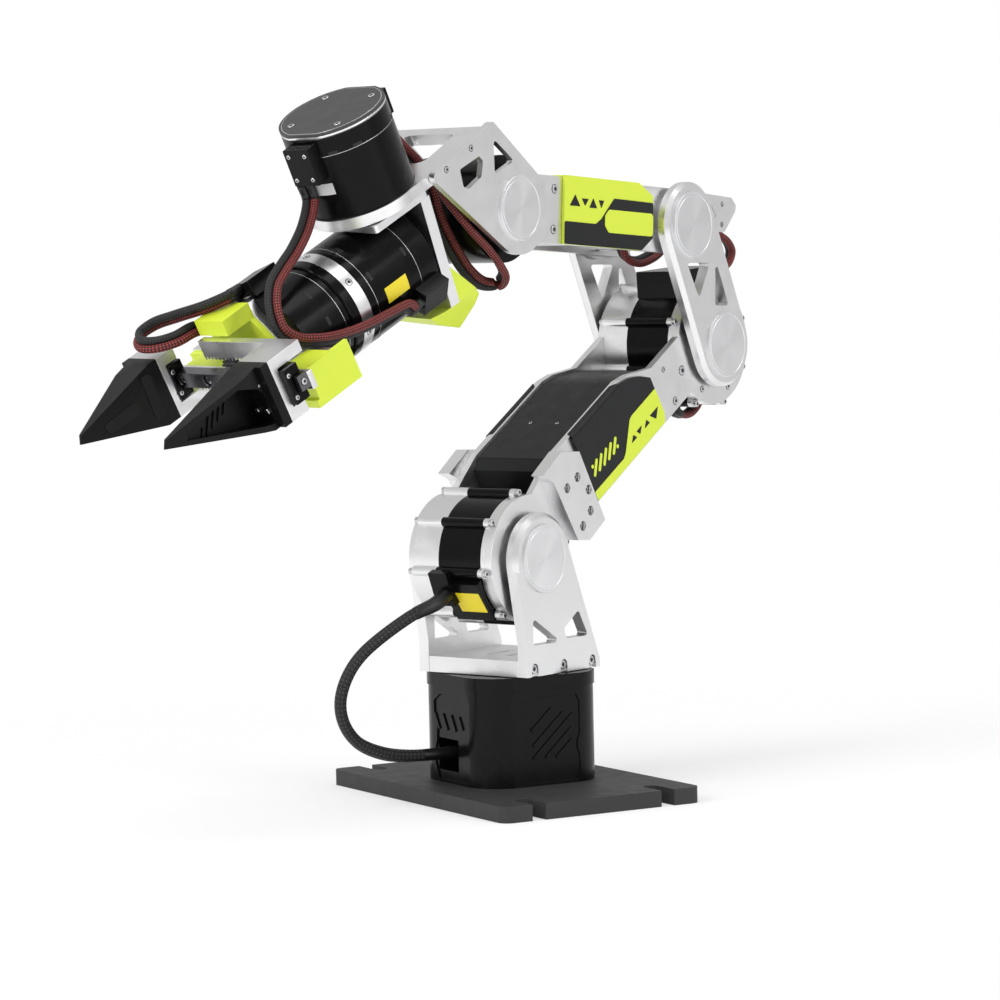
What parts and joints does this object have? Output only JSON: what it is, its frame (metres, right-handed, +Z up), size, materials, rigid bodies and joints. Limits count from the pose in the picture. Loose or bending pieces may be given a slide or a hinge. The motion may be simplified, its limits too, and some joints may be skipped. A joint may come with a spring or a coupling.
{
  "type": "six-axis robot arm",
  "caption": "Desktop six-axis robot arm on a slotted base plate, with plate-built links, a wrist that yaws and rolls, and a parallel rack-and-pinion gripper.",
  "frame": {"origin": "centre of the base plate's underside, on the bench it is clamped to", "axes": "+X forward over the base's cable outlet wall, +Y left, +Z up; the arm is stored turned 21.4 degrees to the left about +Z, in the pose of the picture"},
  "size_m": [0.465, 0.2166, 0.3738],
  "materials": {
    "silver_aluminium": "satin anodised",
    "black_anodised": "satin anodised black",
    "black_plastic": "matte moulded",
    "light_plastic": "satin moulded",
    "lime_plastic": "satin moulded",
    "dark_paint": "fine textured powder coat",
    "steel": "ground",
    "black_rubber": "matte",
    "cable_braid": "braided sleeve"
  },
  "bodies": {
    "base": {"base_plate": "dark_paint", "base_housing": "black_plastic", "housing_lid": "black_plastic", "base_cable": "cable_braid"},
    "turntable": {"yaw_hub": "steel", "fork_base": "silver_aluminium", "fork_side_left": "silver_aluminium", "fork_side_right": "silver_aluminium", "shoulder_caps": "light_plastic"},
    "upper_arm": {"shoulder_motor_cap": "silver_aluminium", "shoulder_motor_body": "black_anodised", "shoulder_motor_flange": "silver_aluminium", "shoulder_connector": "black_plastic", "upper_plate_left": "silver_aluminium", "upper_plate_right": "silver_aluminium", "stop_blocks": "silver_aluminium", "upper_panels": "dark_paint", "upper_covers": "black_plastic", "elbow_motor_cap": "silver_aluminium", "elbow_motor_body": "black_anodised", "elbow_motor_flange": "silver_aluminium", "elbow_connector": "black_plastic", "upper_cable": "cable_braid", "elbow_cable": "cable_braid"},
    "forearm": {"elbow_link_left": "silver_aluminium", "elbow_link_right": "silver_aluminium", "elbow_caps": "light_plastic", "forearm_plate_left": "silver_aluminium", "forearm_plate_right": "silver_aluminium", "forearm_cover": "lime_plastic", "forearm_spacers": "steel", "wrist_motor": "black_anodised"},
    "wrist": {"wrist_plate_left": "silver_aluminium", "wrist_plate_right": "silver_aluminium", "wrist_caps": "light_plastic", "bridge_ring": "silver_aluminium", "yaw_motor": "black_anodised", "yaw_motor_top": "black_plastic", "yaw_connectors": "black_plastic", "wrist_cable": "cable_braid"},
    "roll_carrier": {"yaw_bracket": "silver_aluminium", "bracket_guard": "lime_plastic", "roll_motor": "black_anodised", "roll_connector": "black_plastic", "tool_cable": "cable_braid"},
    "gripper": {"coupling_ring": "silver_aluminium", "gripper_motor": "black_anodised", "gripper_connector": "black_plastic", "gripper_base": "silver_aluminium", "rail_bar": "silver_aluminium", "rail": "steel", "gripper_guards": "lime_plastic", "gripper_cable": "cable_braid"},
    "pinion": {"pinion": "steel"},
    "jaw_left": {"jaw_block_left": "silver_aluminium", "carriage_left": "black_anodised", "finger_left": "black_rubber"},
    "jaw_right": {"jaw_block_right": "silver_aluminium", "carriage_right": "black_anodised", "finger_right": "black_rubber"}
  },
  "joints": [
    {"name": "base_yaw", "type": "hinge", "parent": "base", "child": "turntable", "pos_m": [0, 0, 0.0669], "axis": [0, 0, 1], "range_deg": [-150, 150], "deforming": ["base_cable"]},
    {"name": "shoulder_pitch", "type": "hinge", "parent": "turntable", "child": "upper_arm", "pos_m": [0.01452, 0.00569, 0.1282], "axis": [-0.3649, 0.9311, 0], "range_deg": [-20, 110], "deforming": ["base_cable"]},
    {"name": "elbow_pitch", "type": "hinge", "parent": "upper_arm", "child": "forearm", "pos_m": [-0.14402, -0.05644, 0.23461], "axis": [0.3649, -0.9311, 0], "range_deg": [-15, 90], "deforming": ["elbow_cable"]},
    {"name": "wrist_pitch", "type": "hinge", "parent": "forearm", "child": "wrist", "pos_m": [0.02582, 0.01012, 0.31111], "axis": [0.3649, -0.9311, 0], "range_deg": [-35, 75], "deforming": ["wrist_cable"]},
    {"name": "wrist_yaw", "type": "hinge", "parent": "wrist", "child": "roll_carrier", "pos_m": [0.08386, 0.03286, 0.27755], "axis": [0.4414, 0.173, 0.8805], "range_deg": [-90, 90], "deforming": ["tool_cable"]},
    {"name": "tool_roll", "type": "hinge", "parent": "roll_carrier", "child": "gripper", "pos_m": [0.08761, 0.03433, 0.28503], "axis": [0.863, 0.1869, -0.4694], "range_deg": [-150, 150]},
    {"name": "jaw_left_slide", "type": "slide", "parent": "gripper", "child": "jaw_left", "axis": [0.2175, -0.976, 0.0114], "range_m": [0, 0.029]},
    {"name": "jaw_right_slide", "type": "slide", "parent": "gripper", "child": "jaw_right", "axis": [-0.2175, 0.976, -0.0114], "range_m": [0, 0.029]},
    {"name": "pinion_spin", "type": "hinge", "parent": "gripper", "child": "pinion", "pos_m": [0.17391, 0.05302, 0.23809], "axis": [0.863, 0.1869, -0.4694], "range_deg": [-12, 230]}
  ],
  "couplings": [
    {"joint": "jaw_right_slide", "follows": "jaw_left_slide", "ratio": 1},
    {"joint": "pinion_spin", "follows": "jaw_left_slide", "rad_per_m": 113.64}
  ]
}
